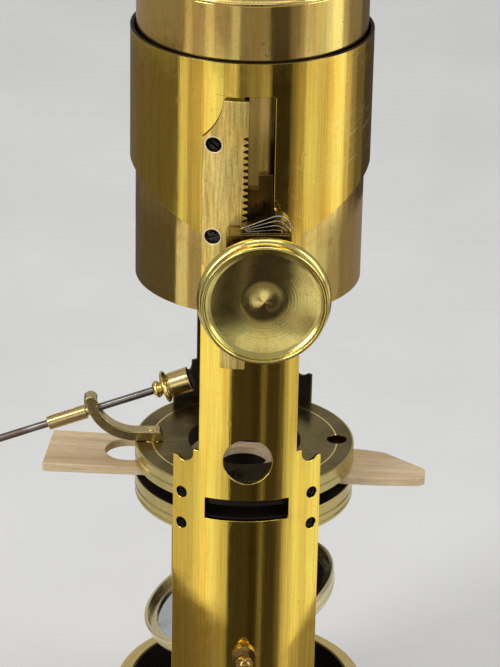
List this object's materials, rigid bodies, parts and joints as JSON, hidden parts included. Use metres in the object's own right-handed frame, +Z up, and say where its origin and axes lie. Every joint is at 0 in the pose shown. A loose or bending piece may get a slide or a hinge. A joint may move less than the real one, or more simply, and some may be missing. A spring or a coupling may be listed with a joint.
{
  "type": "drum microscope",
  "caption": "Upright brass drum microscope with rack and pinion focusing, disc stage with wooden slider, stage forceps, tilting mirror and turned foot.",
  "frame": {"origin": "middle of the foot's resting face, on the optical axis", "axes": "+Z up along the optical axis, -Y towards the focusing knob and the viewer, +X to the right"},
  "size_m": [0.1138, 0.0759, 0.2406],
  "materials": {
    "brass": "polished, aged",
    "pale_brass": "brushed, pale",
    "tarnished_brass": "tarnished, satin",
    "stage_brass": "satin, olive tarnish",
    "blackened_brass": "blackened, matt",
    "blued_steel": "blued, slotted",
    "steel": "grey, worn",
    "bright_steel": "bright spring steel",
    "lead": "dull",
    "glass": "clear",
    "mirror": "silvered glass",
    "wood": "bare, unfinished"
  },
  "bodies": {
    "stand": {"limb_tube": "brass", "guide_rings": "tarnished_brass", "rack": "pale_brass", "rack_screws": "blued_steel", "foot_ring": "brass", "foot_weight": "lead", "foot_plate": "brass", "foot_plate_screws": "blued_steel", "tube_screws": "blued_steel", "stage_upper_disc": "stage_brass", "stage_lower_disc": "stage_brass", "stage_screws": "blued_steel", "slider_springs": "bright_steel", "mirror_pivots": "brass"},
    "drum": {"body_drum": "tarnished_brass", "drum_plate": "tarnished_brass", "drum_stop": "blackened_brass", "snout": "brass", "objective_cell": "brass", "objective_lens": "glass", "objective_ring": "blackened_brass", "drum_cap": "brass", "carriage": "tarnished_brass", "carriage_screws": "blued_steel", "pinion_box": "tarnished_brass", "box_cover": "brass", "box_screws": "blued_steel", "pinion_spring": "bright_steel"},
    "pinion": {"pinion": "steel", "focus_knob": "brass"},
    "eyepiece": {"draw_tube": "pale_brass", "field_cell": "blackened_brass", "field_lens": "glass", "eye_cell": "brass", "eye_lens": "glass", "eyecap": "brass", "shutter_screw": "blued_steel"},
    "shutter": {"eye_shutter": "pale_brass"},
    "slider": {"wood_slider": "wood"},
    "forceps": {"forceps_arm": "brass", "forceps_pin": "brass", "forceps_tube": "brass"},
    "rod": {"forceps_rod": "steel", "specimen_cup": "brass", "specimen_plug": "blackened_brass", "jaw_rivet": "brass"},
    "upper_jaw": {"jaw_upper": "steel"},
    "lower_jaw": {"jaw_lower": "steel"},
    "mirror": {"mirror_cell": "brass", "mirror_glass": "mirror", "mirror_ring": "pale_brass"}
  },
  "joints": [
    {"name": "focus", "type": "slide", "parent": "stand", "child": "drum", "axis": [0, 0, 1], "range_m": [-0.01, 0.0165]},
    {"name": "pinion_turn", "type": "hinge", "parent": "drum", "child": "pinion", "pos_m": [0.0024, -0.03, 0.1382], "axis": [0, -1, 0], "range_deg": [-142, 234]},
    {"name": "draw", "type": "slide", "parent": "drum", "child": "eyepiece", "axis": [0, 0, 1], "range_m": [-0.0063, 0.022]},
    {"name": "shutter_swing", "type": "hinge", "parent": "eyepiece", "child": "shutter", "pos_m": [-0.0076, 0, 0.2395], "axis": [0, 0, 1], "range_deg": [-48, 15]},
    {"name": "slider_push", "type": "slide", "parent": "stand", "child": "slider", "axis": [0.9921, -0.1253, 0], "range_m": [-0.012, 0.03]},
    {"name": "forceps_swivel", "type": "hinge", "parent": "stand", "child": "forceps", "pos_m": [-0.0209, 0, 0.088], "axis": [0, 0, 1], "range_deg": [-60, 60]},
    {"name": "rod_slide", "type": "slide", "parent": "forceps", "child": "rod", "axis": [0.9426, 0, 0.3338], "range_m": [-0.0115, 0.0035]},
    {"name": "jaw_open", "type": "hinge", "parent": "rod", "child": "upper_jaw", "pos_m": [-0.05595, 0, 0.08784], "axis": [0, 1, 0], "range_deg": [0, 5], "stiffness_Nm_per_rad": 0.02},
    {"name": "lower_jaw_open", "type": "hinge", "parent": "rod", "child": "lower_jaw", "pos_m": [-0.05573, 0, 0.08724], "axis": [0, -1, 0], "range_deg": [0, 5]},
    {"name": "mirror_tilt", "type": "hinge", "parent": "stand", "child": "mirror", "pos_m": [0, 0, 0.0468], "axis": [0, 1, 0], "continuous": true}
  ],
  "couplings": [
    {"joint": "pinion_turn", "follows": "focus", "rad_per_m": 246.91},
    {"joint": "lower_jaw_open", "follows": "jaw_open", "ratio": 1}
  ]
}
